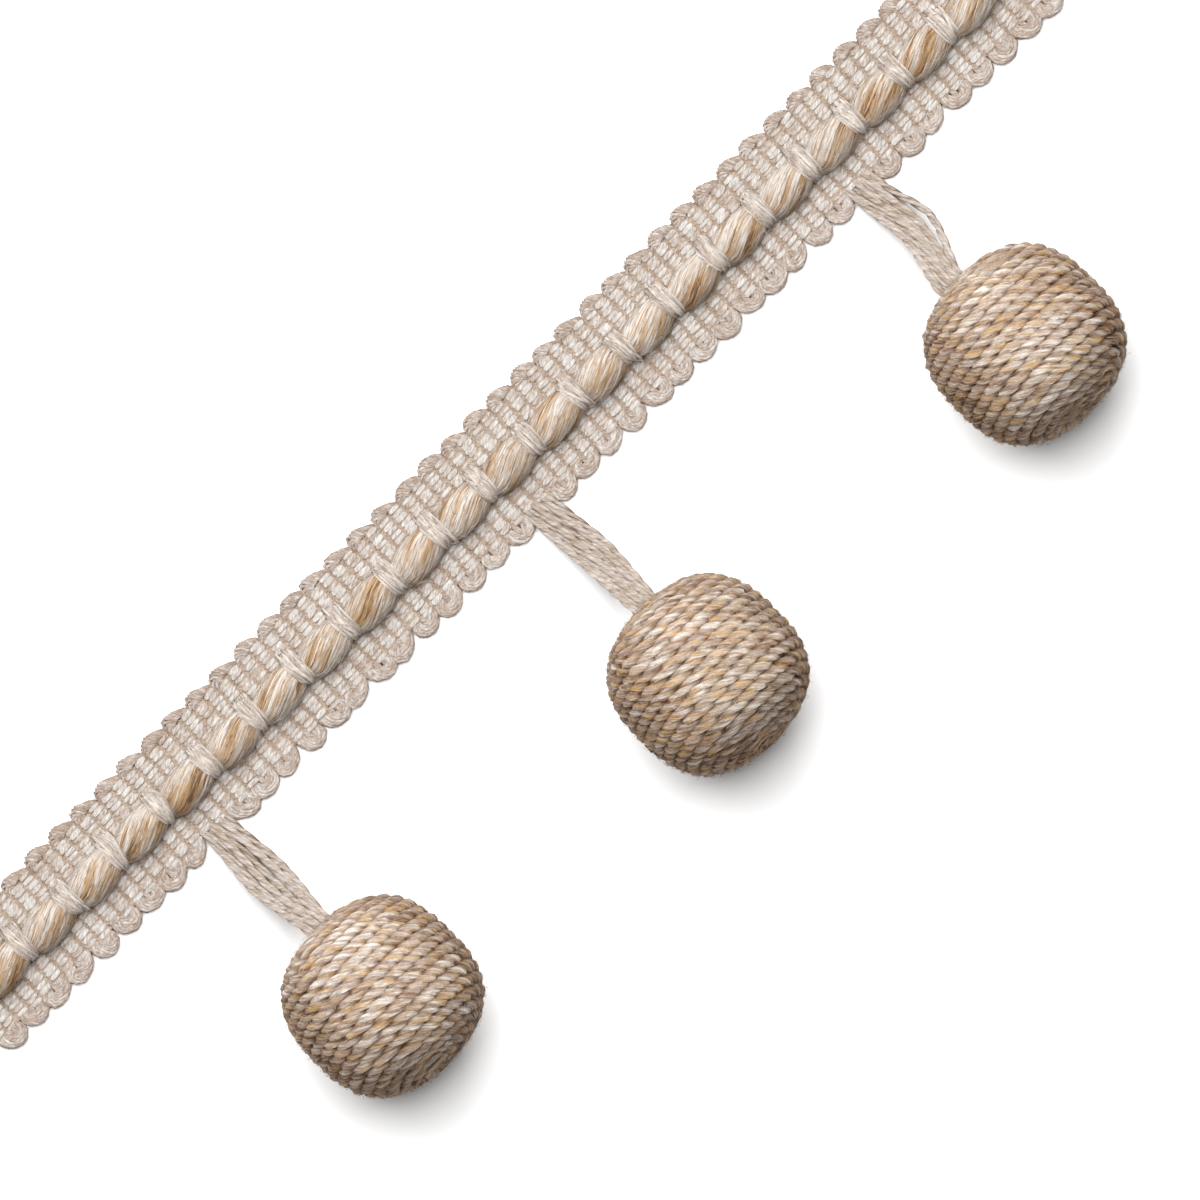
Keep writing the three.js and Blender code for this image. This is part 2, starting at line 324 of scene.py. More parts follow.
def spun_fibre(name, palette, patch, streak, bump, depth=0.3, hollow="c8bdb4", roughness=0.9,
               flecks=None):
    """A yarn finish. palette is (position, hex) for the heather's colours, patch the length and
    width of one colour's patch in mm, streak those of one fibre bundle, depth how much darker the
    gaps between fibres are, and hollow the tint of the painted shade in the hollows between
    strands.
    flecks are locks of another colour: its hex, their length and width, the noise level that they
    start at (a higher one gives fewer) and how strong they are."""
    finish = bpy.data.materials.new(name)
    finish.use_nodes = True
    tree = finish.node_tree
    shader = tree.nodes["Principled BSDF"]
    laid = add_node(tree, "ShaderNodeAttribute", attribute_name="laid")
    tone = add_node(tree, "ShaderNodeAttribute", attribute_name="tone")

    def noise(size, detail):
        stretch = add_node(tree, "ShaderNodeMapping", [("Vector", laid, "Vector")],
                           Scale=(1000 / size[0], 1000 / size[1], 1000 / size[1]))
        return add_node(tree, "ShaderNodeTexNoise", [("Vector", stretch, "Vector")],
                        Scale=1.0, Detail=detail, Roughness=0.6)

    patches = noise(patch, 4.0)
    spread = add_node(tree, "ShaderNodeMapRange", [("Value", patches, "Fac")],
                      **{"From Min": 0.3, "From Max": 0.7, "To Min": -0.5, "To Max": 0.5})
    pick = add_node(tree, "ShaderNodeMath", operation="ADD")
    tree.links.new(spread.outputs["Result"], pick.inputs[0])
    tree.links.new(tone.outputs["Fac"], pick.inputs[1])
    heather = add_node(tree, "ShaderNodeValToRGB", [("Fac", pick, "Value")])
    ramp = heather.color_ramp
    while len(ramp.elements) < len(palette):
        ramp.elements.new(0.5)
    for element, (position, colour) in zip(ramp.elements, palette):
        element.position = position
        element.color = to_linear(colour)

    colour, colour_socket = heather, "Color"
    if flecks:
        dye, size, level, strong = flecks
        lock = add_node(tree, "ShaderNodeMapRange", [("Value", noise(size, 2.0), "Fac")],
                        **{"From Min": level, "From Max": level + 0.13,
                           "To Min": 0.0, "To Max": strong})
        colour, colour_socket = add_node(tree, "ShaderNodeMix", data_type="RGBA"), 2
        colour.inputs[7].default_value = to_linear(dye)
        tree.links.new(lock.outputs["Result"], colour.inputs["Factor"])
        tree.links.new(heather.outputs["Color"], colour.inputs[6])

    streaks = noise(streak, 3.0)
    shade = add_node(tree, "ShaderNodeMapRange", [("Value", streaks, "Fac")],
                     **{"From Min": 0.32, "From Max": 0.68, "To Min": 1.0 - depth, "To Max": 1.0})
    dyed = add_node(tree, "ShaderNodeMix", data_type="RGBA", blend_type="MULTIPLY")
    dyed.inputs["Factor"].default_value = 1.0
    tree.links.new(colour.outputs[colour_socket], dyed.inputs[6])
    tree.links.new(shade.outputs["Result"], dyed.inputs[7])
    # Painted shade: the deeper a corner lies in a hollow between strands, the more the hollow tint
    # darkens it.
    painted_hollow_shade = add_node(tree, "ShaderNodeAttribute", attribute_name="painted_hollow_shade")
    tinted = add_node(tree, "ShaderNodeMix", data_type="RGBA", blend_type="MULTIPLY")
    tinted.inputs[7].default_value = to_linear(hollow)
    tree.links.new(painted_hollow_shade.outputs["Fac"], tinted.inputs["Factor"])
    tree.links.new(dyed.outputs[2], tinted.inputs[6])
    tree.links.new(tinted.outputs[2], shader.inputs["Base Color"])
    raised = add_node(tree, "ShaderNodeBump", [("Height", streaks, "Fac")],
                      Strength=bump, Distance=0.2 * MM)
    tree.links.new(raised.outputs["Normal"], shader.inputs["Normal"])
    shader.inputs["Roughness"].default_value = roughness
    shader.inputs["Specular IOR Level"].default_value = 0.1
    return finish


def plain_body(name, shape, tone, axes=(0, 1, 2)):
    """A piece made from a finished bmesh, with the attributes that the yarn finishes read: one tone
    all over, and the places of its corners along axes, the first of which is the fibres' way."""
    mesh = bpy.data.meshes.new(name)
    shape.to_mesh(mesh)
    shape.free()
    corners = np.empty(len(mesh.vertices) * 3, np.float32)
    mesh.vertices.foreach_get("co", corners)
    corners = corners.reshape(-1, 3)
    places = np.zeros_like(corners)
    places[:, :len(axes)] = corners[:, axes]
    laid = mesh.attributes.new("laid", "FLOAT_VECTOR", "POINT")
    laid.data.foreach_set("vector", places.ravel())
    mark = mesh.attributes.new("tone", "FLOAT", "POINT")
    mark.data.foreach_set("value", [tone] * len(mesh.vertices))
    piece = bpy.data.objects.new(name, mesh)
    bpy.context.scene.collection.objects.link(piece)
    return piece


def dress(piece, finish, slot, *nodes):
    """Gives a piece its finish, its place in the frame and the solids that it stands for."""
    piece.data.materials.append(finish)
    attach(piece, "root")
    if nodes:
        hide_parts(*nodes)


FREE_FIBRES = 0.2           # the share of the loose fibres that have one end in the air
FIBRE_FAN = 60.0            # how far round from the way out they start, in degrees


def loose_fibres(name, strands, outward_from, count, long, lift, thick=0.07):
    """Fine fibres that stand off the strands' skin. Each is a thin spindle laid roughly along its
    strand with its middle raised. outward_from gives, for points of the strands, the way out of
    the piece. long, lift and thick are in mm."""
    shape = bmesh.new()
    bmesh.ops.create_cone(shape, cap_ends=True, segments=3, radius1=1.0, radius2=0.0, depth=1.0)
    bmesh.ops.remove_doubles(shape, verts=shape.verts[:], dist=1e-4)
    faces = np.array([[corner.index for corner in face.verts] for face in shape.faces])
    tip_corner = int(np.argmax([corner.co.z for corner in shape.verts]))
    first, second, third = [k for k in range(4) if k != tip_corner]
    shape.free()

    points = np.concatenate([strand["line"] for strand in strands])
    ahead = np.concatenate([np.gradient(strand["line"], axis=0) for strand in strands])
    radius = np.concatenate([np.broadcast_to(strand["thick"], len(strand["line"])) / 2
                             for strand in strands])
    tones = np.concatenate([np.broadcast_to(strand["tone"], len(strand["line"]))
                            for strand in strands])
    pick = dice.integers(0, len(points), count)
    foot, ahead, radius, tones = points[pick], ahead[pick], radius[pick], tones[pick]
    ahead = ahead / np.linalg.norm(ahead, axis=1)[:, None]
    outward = outward_from(foot)
    outward = outward - (outward * ahead).sum(1)[:, None] * ahead
    outward /= np.linalg.norm(outward, axis=1)[:, None]
    sideways = np.cross(ahead, outward)
    round_it = np.radians(dice.uniform(-FIBRE_FAN, FIBRE_FAN, count))[:, None]
    outward, sideways = (outward * np.cos(round_it) + sideways * np.sin(round_it),
                         sideways * np.cos(round_it) - outward * np.sin(round_it))
    foot = foot + outward * radius[:, None]
    stray = dice.normal(0, 0.45, count)[:, None]
    way = ahead * np.cos(stray) + sideways * np.sin(stray)
    half = long / 2 * dice.uniform(0.5, 1.3, count)[:, None]
    raised = lift * dice.uniform(0.2, 1.5, count)[:, None]
    free = dice.random(count) < FREE_FIBRES
    tip = np.where(free, dice.uniform(0.3, 1.0, count) * long / 2, 0.0)[:, None]
    corners = np.empty((count, 4, 3))
    corners[:, first] = foot - way * half + outward * raised
    corners[:, tip_corner] = foot + way * half + outward * (raised + tip)
    across = np.cross(way, outward) * thick / 2
    belly = foot + outward * (raised + tip / 2 + thick * 0.8)
    corners[:, second] = belly + across
    corners[:, third] = belly - across
    corners[:, :, 2] = np.maximum(corners[:, :, 2], 0.02)       # none goes through the table
    mesh = bpy.data.meshes.new(name)
    every = (faces[None] + 4 * np.arange(count)[:, None, None]).reshape(-1, 3)
    mesh.from_pydata(corners.reshape(-1, 3) * MM, [], every.tolist())
    laid = mesh.attributes.new("laid", "FLOAT_VECTOR", "POINT")
    apart = np.repeat(dice.uniform(0, 900.0, (count, 3)), 4, axis=0)
    laid.data.foreach_set("vector", (apart * MM).ravel())
    tone = mesh.attributes.new("tone", "FLOAT", "POINT")
    tone.data.foreach_set("value", np.repeat(tones, 4))
    # Each fibre has one small square of the flat map, because it is of one colour.
    rows = math.ceil(math.sqrt(count))
    number = np.repeat(np.arange(count), len(faces) * 3)
    corner = np.tile([(0.3, 0.3), (0.7, 0.3), (0.5, 0.7)], (count * len(faces), 1))
    flat = (np.stack([number % rows, number // rows], 1) + corner) / rows
    mesh.uv_layers.new(name="OFBake").data.foreach_set("uv", flat.astype(np.float32).ravel())
    piece = bpy.data.objects.new(name, mesh)
    bpy.context.scene.collection.objects.link(piece)
    return piece


# Matte cotton, spun soft: short pale streaks, and a beige tint painted in the hollows as shade.
tape_cotton = spun_fibre(
    "soft_spun_cotton", [(0.0, "9a897b"), (0.3, "ab9d94"), (0.6, "bab2ab"), (1.0, "c6c4c0")],
    patch=(1.0, 0.5), streak=(0.7, 0.28), bump=0.8, depth=0.4, hollow="ccb7a2")

WARPS = 36
WARP_THICK = 0.70
WARP_RISE = 0.36            # above and below the tape's middle
warp_gap = (TAPE_WIDE - WARP_THICK) / (WARPS - 1)
# On top of a rib and under one: shares of a pick where a warp has a point, its rise and thickness.
OVER = np.array([(0.0, 0.15, 0.6), (0.12, 0.05, 0.8), (0.22, 0.8, 1.25), (0.5, 1.0, 1.5),
                 (0.78, 0.8, 1.25), (0.88, 0.05, 0.8)])
UNDER = np.array([(0.0, 0.15, 0.6), (0.3, -0.9, 1.0), (0.7, -0.9, 1.0)])
GRAIN_SLANT = 0.08          # how far a grain's ends stand to either side

warp_strands = []
for w in range(WARPS):
    middle_y = -TAPE_WIDE / 2 + WARP_THICK / 2 + w * warp_gap
    points = []
    for k in range(PICKS):
        over = (k + w) % 2 == 0
        aside, high = dice.normal(0, 0.09), dice.normal(0, 0.09)
        full = 1 + dice.normal(0, 0.13)
        lean = GRAIN_SLANT + dice.normal(0, 0.09)
        late, pale = dice.normal(0, 0.09), 0.62 + dice.normal(0, 0.13)
        for share, rise, thick in OVER if over else UNDER:
            slant = lean * (share - 0.5) * 2 if over and share else 0.0
            points.append((-TAPE_LONG / 2 + PICK * (k + share) + late + dice.normal(0, 0.03),
                           middle_y + aside + slant, TAPE_Z + WARP_RISE * rise + high * abs(rise),
                           WARP_THICK * thick * full, pale))
    points.append((TAPE_LONG / 2, middle_y, TAPE_Z, WARP_THICK * 0.5, 0.5))
    points = np.array(points)
    points[0, 0] += dice.uniform(-0.4, 0.3)
    points[-1, 0] += dice.uniform(-0.3, 0.4)
    points[:, 1] += wander(points[:, 0], 9.0, 0.04)
    points[:, 2] = np.maximum(points[:, 2], points[:, 3] / 2)
    warp_strands.append(dict(line=points[:, :3], thick=points[:, 3], tone=points[:, 4], fibre=0.25))


def tape_skin(points):
    """How far points lie below the tape's face, or above its back."""
    return np.minimum(2 * TAPE_Z - points[:, 2], points[:, 2])


warps = spun("tape_warps", warp_strands, tape_skin, hollow=(0.15, 0.7), soften=0.85)
dress(warps, tape_cotton, "tape")

# ---- heading tape: the ground -------------------------------------------------------------------
# The thick weft that the warps cross, packed tight into ribs. With the warps it is the tape's own
# closed body: one sheet, cut to the tape's length, that lies flat.

RIB_HIGH = 0.52             # from the tape's middle to a rib's crest, and to the gap between two
GAP_HIGH = 0.12
ground_cotton = spun_fibre(
    "packed_rib_cotton", [(0.0, "8f7f6e"), (0.5, "a29284"), (1.0, "b0a59b")],
    patch=(1.2, 0.8), streak=(0.9, 0.3), bump=0.6)

shape = bmesh.new()
bmesh.ops.create_grid(shape, x_segments=PICKS * 6, y_segments=1, size=0.5)
for corner in shape.verts:
    x, y = corner.co.x * TAPE_LONG, corner.co.y * (TAPE_WIDE - 0.5)
    crest = 0.5 - 0.5 * math.cos(2 * math.pi * (x / PICK))
    corner.co = (x * MM, y * MM, (TAPE_Z + GAP_HIGH + (RIB_HIGH - GAP_HIGH) * crest) * MM)
below = bmesh.ops.extrude_face_region(shape, geom=shape.faces[:])["geom"]
for part in below:
    if isinstance(part, bmesh.types.BMVert):
        part.co.z = 2 * TAPE_Z * MM - part.co.z
bmesh.ops.recalc_face_normals(shape, faces=shape.faces[:])
ground = plain_body("tape_ground", shape, 0.5, axes=(1, 0))
dress(ground, ground_cotton, "tape", "heading_tape")

# ---- heading tape: the loops at both edges ------------------------------------------------------
# Where the thick weft turns back at an edge it stands out in a loop. At the plain edge its strands
# are wound hard round one another, so a loop is a short fat coil; at the fringe edge they hang open
# side by side. No loop stands where a hanger leaves the tape.

# The weft's middle line round each loop, from one rib to the next: along the edge and out of it,
# half its width and half its height there.
UPPER_BEND = [(-1.6, -0.9, 0.9, 0.6), (-1.8, 0.15, 1.1, 0.8), (-1.25, 0.85, 1.4, 0.9),
              (-0.3, 1.05, 1.3, 0.9), (0.7, 0.95, 0.95, 0.8), (1.7, 0.55, 0.7, 0.66),
              (2.1, -0.15, 0.58, 0.56), (1.6, -0.9, 0.6, 0.5)]
LOWER_BEND = [(-1.4, -0.9, 0.95, 0.6), (-1.6, 0.2, 1.2, 0.7), (-1.4, 1.25, 1.3, 0.74),
              (0.0, 2.0, 1.26, 0.72), (1.4, 1.25, 1.3, 0.74), (1.6, 0.2, 1.2, 0.7),
              (1.4, -0.9, 0.95, 0.6)]


def edge_loop(middle, side, bend, reach, broad, count, lead, step, strand_thick, relief, pale):
    """The strands of one loop: count on its skin, wound with that lead, and two inside. reach and
    broad are its size out of the edge and along it as shares of the bend's, relief is how unevenly
    high the strands lie, and pale which of the cotton's colours they have."""
    skew = dice.uniform(-0.6, 0.6)
    route = even([(x * broad + skew * y, y * (reach if y > 0 else 1.0), wide, high)
                  for x, y, wide, high in bend], step)
    wide, high = route[:, 2] * dice.uniform(0.94, 1.03), route[:, 3]
    line = np.stack([middle + route[:, 0], side * (TAPE_WIDE / 2 + route[:, 1]), high + 0.02], 1)
    upward, sideways = frames(line, (0.0, 0.0, 1.0))
    along = lengths(line)
    start = dice.random()
    made = []
    for number in range(count + 2):
        inside = number >= count
        angle = 2 * np.pi * (start + number / (2 if inside else count) - along / lead)[:, None]
        thick = 0.95 if inside else strand_thick * (1 + wander(along, 4.0, 0.1))
        hug = 0.45 if inside else 1 + wander(along, 3.0, relief)
        half_wide = ((wide - strand_thick / 2) * hug)[:, None]
        half_high = ((high - strand_thick / 2) * hug)[:, None]
        strand = line + sideways * half_wide * np.cos(angle) + upward * half_high * np.sin(angle)
        strand[:, 2] = np.maximum(strand[:, 2], np.max(thick) / 2)
        # The two strands inside get the cotton's darkest colour: painted shade inside the loop.
        tone = 0.0 if inside else pale + dice.uniform(-0.2, 0.2)
        made.append(dict(line=strand, thick=thick, tone=tone, fibre=0.3))
    return made


rib_x = -TAPE_LONG / 2 + PICK * (np.arange(PICKS) + 0.5)
upper_strands, lower_strands = [], []
for k in range(PICKS - 1):
    middle = rib_x[k] + PICK / 2
    if k % 2 == 0:
        # A dark strand low in the coil, painted shade, shows where it doesn't close.
        hollow = [(middle + x, TAPE_WIDE / 2 + y, 0.6)
                  for x, y in ((0.3, -0.6), (0.7, 0.1), (1.2, -0.5))]
        upper_strands.append(dict(line=np.array(hollow), thick=1.1, tone=-0.1, fibre=0.3))
        upper_strands += edge_loop(
            middle, 1, UPPER_BEND, reach=dice.uniform(0.8, 1.06), broad=dice.uniform(0.98, 1.22),
            count=6, lead=2.9, step=0.45, strand_thick=0.52, relief=0.1, pale=0.24)
    elif min(abs(middle - x) for x in HANGERS) > PICK:
        lower_strands += edge_loop(
            middle, -1, LOWER_BEND, reach=dice.uniform(0.84, 1.08), broad=dice.uniform(0.9, 1.14),
            count=10, lead=dice.uniform(7.0, 20.0), step=0.75, strand_thick=0.62, relief=0.17,
            pale=0.42)
        # The hollow of an open loop is filled by the strands that lie under it, darker than the
        # loop: painted shade.
        hollow = [(middle, -TAPE_WIDE / 2 + y, 0.72) for y in (0.6, 0.0, -0.9, -1.4)]
        lower_strands.append(dict(line=np.array(hollow), thick=1.4, tone=0.25, fibre=0.3))
upper_loops = spun("plain_edge_loops", upper_strands, tape_skin, hollow=(0.1, 1.0), soften=0.75)
dress(upper_loops, tape_cotton, "tape")
lower_loops = spun("fringe_edge_loops", lower_strands, tape_skin, hollow=(0.1, 1.0), soften=0.75)
dress(lower_loops, tape_cotton, "tape")

# The cotton's short fibres stand off it everywhere, most of all at the loops.
tape_fuzz = loose_fibres("tape_fuzz", warp_strands + upper_strands + lower_strands,
                         lambda points: np.array([[0.0, 0.0, 1.0]]) + 0 * points,
                         count=8000, long=1.3, lift=0.06, thick=0.06)
dress(tape_fuzz, tape_cotton, "tape")


def shift_to_tape(piece):
    """Moves a mesh made about the tape's centre line to where the tape lies."""
    piece.data.transform(Matrix.Translation((0.0, TAPE_Y * MM, 0.0)))


for piece in (warps, ground, upper_loops, lower_loops, tape_fuzz):
    shift_to_tape(piece)

# ---- gimp cord ----------------------------------------------------------------------------------
# A thick soft roving of loosely twisted strands, cream with a few ochre and pinkish ones, couched
# along the middle of the tape. It swells into a puff between the bindings and is pinched by each.

CORD_Y = -0.3               # towards the plain edge from the tape's centre line
CORD_WIDE = 7.1
CORD_HIGH = 6.6
CORD_BASE = 1.55            # the tape's face
CORD_RISE = 0.6             # the section's middle above it: the rest of the cord is pressed flat
PUFF = 4 * PICK             # binding to binding
BINDING_WIDE = 3.2
FIRST_BINDING = -4.4        # a binding's middle, from the middle hanger
PINCH = 0.62                # the roving's size under a binding, as a share of its fullest
PINCH_LONG = BINDING_WIDE * 0.26    # to each side of a binding's middle
# How far along it a puff takes to fill after a binding, and how much further at the plain edge's
# side. Then the same for closing at the next, which takes less there.
FILLS_OVER = (3.3, 1.9)
CLOSES_OVER = (2.9, -1.3)
CORD_STRANDS = 72
CORD_LEAD = 40.0            # one full turn of the cord's twist
ROVING_THICK = 0.56

# Cream roving with ochre and dusty pink strands among the pale ones: soft, matte and long-fibred.
roving = spun_fibre(
    "soft_twisted_roving",
    [(0.0, "75553d"), (0.2, "a08059"), (0.38, "b09170"), (0.52, "b09a84"), (0.7, "bfb2a6"),
     (1.0, "d0c8c0")],
    patch=(5.0, 0.6), streak=(4.0, 0.16), bump=0.9, depth=0.5, hollow="a58866")

binding_x = np.arange(FIRST_BINDING - 12 * PUFF, TAPE_LONG / 2, PUFF)


def swell(x, across=0.0):
    """The cord's section at x as a share of its fullest: low under a binding, full between two.
    across is 1 at the plain edge's side and -1 at the fringe's. The twist makes a puff lean: its
    plain edge side fills late after one binding, and its fringe side closes early at the next."""
    since = (x - FIRST_BINDING) % PUFF
    first = np.clip((since - PINCH_LONG) / (FILLS_OVER[0] + FILLS_OVER[1] * across), 0, 1)
    last = np.clip((PUFF - since - PINCH_LONG) / (CLOSES_OVER[0] + CLOSES_OVER[1] * across), 0, 1)
    full = (np.sin(first * np.pi / 2) * np.sin(last * np.pi / 2)) ** 0.8
    return PINCH + (1 - PINCH) * full


def around_cord(x, angle, inset):
    """A point on the cord's skin, that far inside it, at an angle from the plain edge side."""
    size = swell(x, np.cos(angle))
    y = CORD_Y + (CORD_WIDE / 2 * size - inset) * np.cos(angle)
    z = CORD_BASE + CORD_RISE * size + (CORD_HIGH / 2 * size - inset) * np.sin(angle)
    return np.stack([x, y, np.maximum(z, CORD_BASE + inset)], 1)


cord_x = np.linspace(-TAPE_LONG / 2, TAPE_LONG / 2, PICKS // 4 * 7 + 1)     # 7 steps to a puff
# Bands of ochre and pinkish strands that come and go along the cord: the middle one of each, how
# many it fades over, how strong it is and how far it is along before it first shows most.
BANDS = [(6, 3.4, 0.5, 0.0), (18, 2.6, 0.38, 9.0), (30, 4.6, 0.55, 16.0), (44, 2.8, 0.4, 5.0),
         (56, 3.8, 0.5, 12.0), (67, 2.4, 0.3, 20.0)]
BAND_LONG = 23.0            # from where a band shows most to where it does again
shared = wander(cord_x, 34.0, 0.08)
roving_strands = []
for k in range(CORD_STRANDS):
    drift = wander(cord_x, 20.0, 0.025)
    angle = 2 * np.pi * (k / CORD_STRANDS - cord_x / CORD_LEAD + drift)
    thick = ROVING_THICK * (1 + wander(cord_x, 12.0, 0.12)) * swell(cord_x) ** 0.5
    inset = ROVING_THICK / 2 + 0.05 + wander(cord_x, 9.0, 0.06)
    dyed = sum(strong * math.exp(-((k - at) / fade) ** 2)
               * np.clip(0.6 + 0.6 * np.cos(2 * np.pi * (cord_x - first) / BAND_LONG), 0.1, 1.1)
               for at, fade, strong, first in BANDS)
    # Painted shade: strands are darker from the cord's top down its fringe side, most part way
    # down, less at the very edge.
    painted_cord_shade = 0.16 * np.sin(np.pi * np.clip((0.5 - np.cos(angle)) / 1.5, 0, 1))
    tone = 0.82 - dyed - painted_cord_shade + shared + dice.uniform(-0.09, 0.09) + wander(cord_x, 20.0, 0.12)
    roving_strands.append(dict(line=around_cord(cord_x, angle, inset), thick=thick, tone=tone,
                               fibre=-0.02))


def cord_skin(points):
    """How far points lie below the cord's skin."""
    off = np.stack([points[:, 1] - CORD_Y, points[:, 2] - CORD_BASE - CORD_RISE], 1)
    size = swell(points[:, 0], off[:, 0] / np.maximum(np.linalg.norm(off, axis=1), 0.1))
    y = off[:, 0] / (CORD_WIDE / 2 * size)
    z = (points[:, 2] - CORD_BASE - CORD_RISE * size) / (CORD_HIGH / 2 * size)
    return (1 - np.hypot(y, z)) * CORD_HIGH / 2 * size


cord = spun("gimp_roving", roving_strands, cord_skin, hollow=(0.18, 0.55), soften=0.9)
dress(cord, roving, "gimp", "gimp_cord")

# The strands inside the cord, which fill it and close the gaps between those outside. Both cut ends
# are trimmed flat and spread over the outer strands a little.
HEART_SIDES = 24
HEART_DEEP = 0.45           # below the cord's skin, and at a cut end
CUT_DEEP = 0.14
inner_x = np.linspace(-TAPE_LONG / 2 + 0.15, TAPE_LONG / 2 - 0.15, PICKS // 4 * 6 + 1)
cut_x = TAPE_LONG / 2 + 0.03
angles = 2 * np.pi * np.arange(HEART_SIDES) / HEART_SIDES
shape = bmesh.new()
rings = []
for x in (-cut_x, *inner_x, cut_x):
    deep = CUT_DEEP if abs(x) == cut_x else HEART_DEEP
    ring = around_cord(np.full(HEART_SIDES, x), angles, deep)
    corners = [shape.verts.new(Vector(p) * MM) for p in ring]
    rings.append([shape.edges.new((a, b)) for a, b in zip(corners, corners[1:] + corners[:1])])
for one, other in zip(rings, rings[1:]):
    bmesh.ops.bridge_loops(shape, edges=one + other)
bmesh.ops.holes_fill(shape, edges=rings[0] + rings[-1], sides=HEART_SIDES)
bmesh.ops.recalc_face_normals(shape, faces=shape.faces[:])
# It has the tape's darker rib cotton: painted shade for where it shows between the outer strands.
heart = plain_body("gimp_heart", shape, 0.6)
dress(heart, ground_cotton, "gimp")

# ---- bindings -----------------------------------------------------------------------------------
# Pale soft threads, ten side by side and four across them, that go over the cord and down into the
# tape on both sides, every fourth rib. Towards the plain edge they lie on the tape's face a little.

THREADS_BELOW = 10
THREADS_ABOVE = 4
THREAD_THICK = 0.44
thread_cotton = spun_fibre(
    "pale_binding_cotton", [(0.0, "85756a"), (0.5, "ada197"), (1.0, "c4bcb4")],
    patch=(3.0, 0.8), streak=(2.2, 0.26), bump=0.7, depth=0.25, hollow="ae9b88")

thread_strands = []
for middle in binding_x:
    if abs(middle) > TAPE_LONG / 2 - 2.5:
        continue
    lean = dice.uniform(-0.3, 0.3)
    tail = dice.uniform(0.2, 1.3)
    for k in range(THREADS_BELOW + THREADS_ABOVE):
        above = THREADS_BELOW <= k
        side = (k - (THREADS_BELOW - 1) / 2) / (THREADS_BELOW - 1)
        if above:
            side = dice.uniform(-0.36, 0.36)
        x0 = middle + side * (BINDING_WIDE - THREAD_THICK) + dice.normal(0, 0.08)
        skew = dice.normal(0, 0.5) if above else 0.0
        # How far it stands off the cord: the middle ones more, and the four across them the most.
        out = 0.16 * (1 - 4 * side ** 2) + (0.24 if above else dice.uniform(-0.08, 0.08))
        edge = CORD_Y + CORD_WIDE / 2
        ragged = dice.normal(0, 0.4)
        low = 1.4 * side ** 2       # the outer threads of a tail lie lower than its middle ones
        # A thread starts at the end of its tail, spread out on the tape, and climbs to the cord.
        points = [(middle + side * 2.3 - skew, edge + tail + ragged, 0.9),
                  (middle + side * 2.5 - skew, edge + tail * 0.8 + ragged, 1.6 - low / 2),
                  (middle + side * 2.6 - skew, edge + tail * 0.4, 1.9 - low + out),
                  (middle + side * 2.6 - skew, edge - 0.2, 2.5 - low + out)]
        # It then goes round the cord, from the plain edge's side to the fringe's.
        for angle in np.radians([34, 55, 80, 105, 130, 152, 172]):
            share = (angle / math.pi - 0.5) * 2
            gather = 1 - 0.55 * max(share, 0.0) ** 1.5 - 0.15 * min(share, 0.0)
            x = middle + (x0 - middle) * gather + (lean + skew) * share
            spot = around_cord(np.array([x]), np.array([angle]), -out)[0]
            points.append((x, spot[1], spot[2]))
        # On the fringe side it is pulled in under the cord with the others.
        foot = middle + (x0 - middle) * 0.4 + lean
        points.append((foot, CORD_Y - CORD_WIDE * PINCH / 2 - 0.1, 1.9))
        points.append((foot, CORD_Y - CORD_WIDE * PINCH / 2 + 0.3, 1.0))
        line = even(points, 0.8)
        along = lengths(line)
        thick = THREAD_THICK * (1 + wander(along, 5.0, 0.1)) * np.clip(0.4 + along / 3.0, 0, 1)
        tone = (0.68 if above else 0.56) + dice.uniform(-0.26, 0.26)
        thread_strands.append(dict(line=line, thick=thick, tone=tone, fibre=0.12))


def binding_skin(points):
    """How far points lie below the bindings' outer side, over the cord and down to the tape."""
    return np.maximum(cord_skin(points) + 0.15, 2 * TAPE_Z + 0.3 - points[:, 2])


bindings = spun("cord_bindings", thread_strands, binding_skin, hollow=(0.1, 0.6), soften=0.8)
dress(bindings, thread_cotton, "gimp")


def off_cord(points):
    """The way out of the cord."""
    return np.stack([0 * points[:, 0], points[:, 1] - CORD_Y, points[:, 2] - CORD_BASE - 1.0], 1)


def off_binding(points):
    """The way out of the bindings, which lie on the cord and beside it."""
    return np.stack([0 * points[:, 0], points[:, 1] - CORD_Y, 0 * points[:, 0] + 3.0], 1)


gimp_fuzz = loose_fibres("gimp_fuzz", roving_strands, off_cord, count=5500, long=2.4, lift=0.06)
dress(gimp_fuzz, roving, "gimp")
binding_fuzz = loose_fibres("binding_fuzz", thread_strands, off_binding,
                            count=3800, long=1.8, lift=0.07)
dress(binding_fuzz, thread_cotton, "gimp")

for piece in (cord, heart, bindings, gimp_fuzz, binding_fuzz):
    shift_to_tape(piece)

# ---- hangers ------------------------------------------------------------------------------------
# Six thin cords side by side carry each ball. Each is a three-ply cord, twisted to the left. They
# come out of the two ribs that have no loop, climb off the table and go in at the ball's winding
# axis.

CORD_PLY = 0.7
CORD_TURN = 11.0            # one full twist
BALL_WIDE = 16.0
BALL_LONG = 15.8
BALL_SQUARE = 2.7
BALL_TILT = math.radians(10)
BALL_FLAT = 0.3
AXIS = np.array([0.0, -math.cos(BALL_TILT), math.sin(BALL_TILT)])

